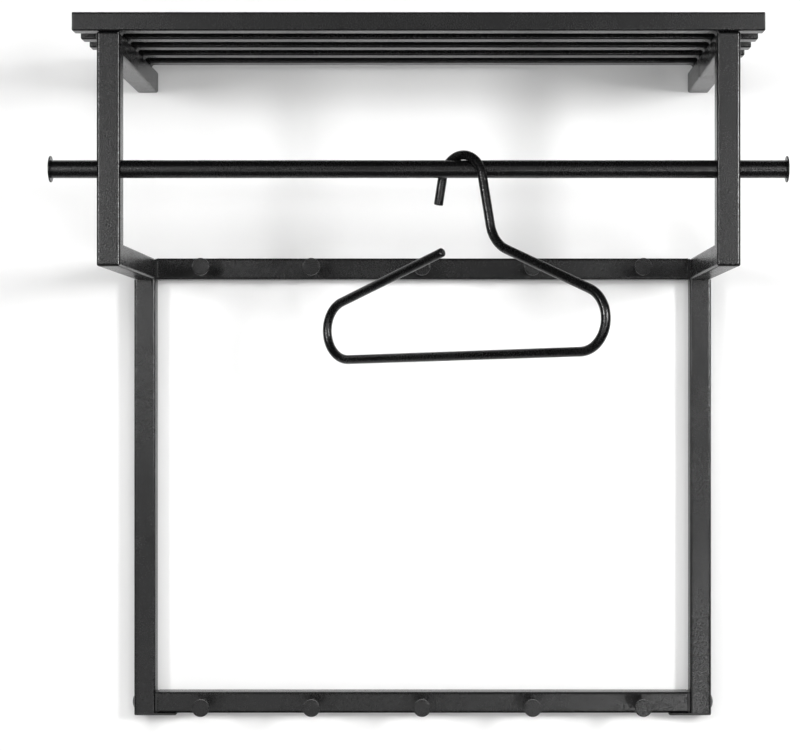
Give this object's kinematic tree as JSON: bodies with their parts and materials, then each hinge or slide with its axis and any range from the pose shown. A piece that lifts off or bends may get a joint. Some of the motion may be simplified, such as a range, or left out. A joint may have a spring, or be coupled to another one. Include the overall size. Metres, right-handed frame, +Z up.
{
  "type": "wall coat rack",
  "caption": "Wall coat rack in square steel tube with a slatted shelf, a hanging rail, rows of peg hooks and a bent-rod coat hanger.",
  "frame": {"origin": "centre of the four wall screws, on the wall plane", "axes": "+X to the right seen from the room, +Y into the wall, +Z up"},
  "size_m": [0.785, 0.4101, 0.7841],
  "materials": {
    "powder_black": "fine-grained satin black powder coat",
    "plastic_black": "moulded black plastic",
    "zinc": "zinc-plated steel"
  },
  "bodies": {
    "rack": {"left_shelf_arm": "powder_black", "right_shelf_arm": "powder_black", "left_front_post": "powder_black", "right_front_post": "powder_black", "left_lower_arm": "powder_black", "right_lower_arm": "powder_black", "left_wall_post": "powder_black", "right_wall_post": "powder_black", "left_wall_plate": "powder_black", "right_wall_plate": "powder_black", "lower_arm_end_plates": "powder_black", "left_foot_cap": "plastic_black", "right_foot_cap": "plastic_black", "shelf_slat_1": "powder_black", "shelf_slat_2": "powder_black", "shelf_slat_3": "powder_black", "shelf_slat_4": "powder_black", "shelf_slat_5": "powder_black", "slat_end_plates": "powder_black", "hanging_rail": "powder_black", "left_rail_cap": "powder_black", "right_rail_cap": "powder_black", "rail_lock_screws": "zinc", "upper_hook_bar": "powder_black", "lower_hook_bar": "powder_black", "upper_bar_plugs": "plastic_black", "lower_bar_plugs": "plastic_black", "upper_bar_bolts": "powder_black", "lower_bar_bolts": "powder_black", "upper_hook_1": "powder_black", "upper_hook_2": "powder_black", "upper_hook_3": "powder_black", "upper_hook_4": "powder_black", "upper_hook_5": "powder_black", "lower_hook_1": "powder_black", "lower_hook_2": "powder_black", "lower_hook_3": "powder_black", "lower_hook_4": "powder_black", "lower_hook_5": "powder_black", "upper_hook_screws": "zinc", "lower_hook_screws": "zinc"},
    "hanger": {"coat_hanger": "powder_black"}
  },
  "joints": [
    {"name": "hanger_slide", "type": "slide", "parent": "rack", "child": "hanger", "axis": [1, 0, 0], "range_m": [-0.285, 0.247]}
  ]
}
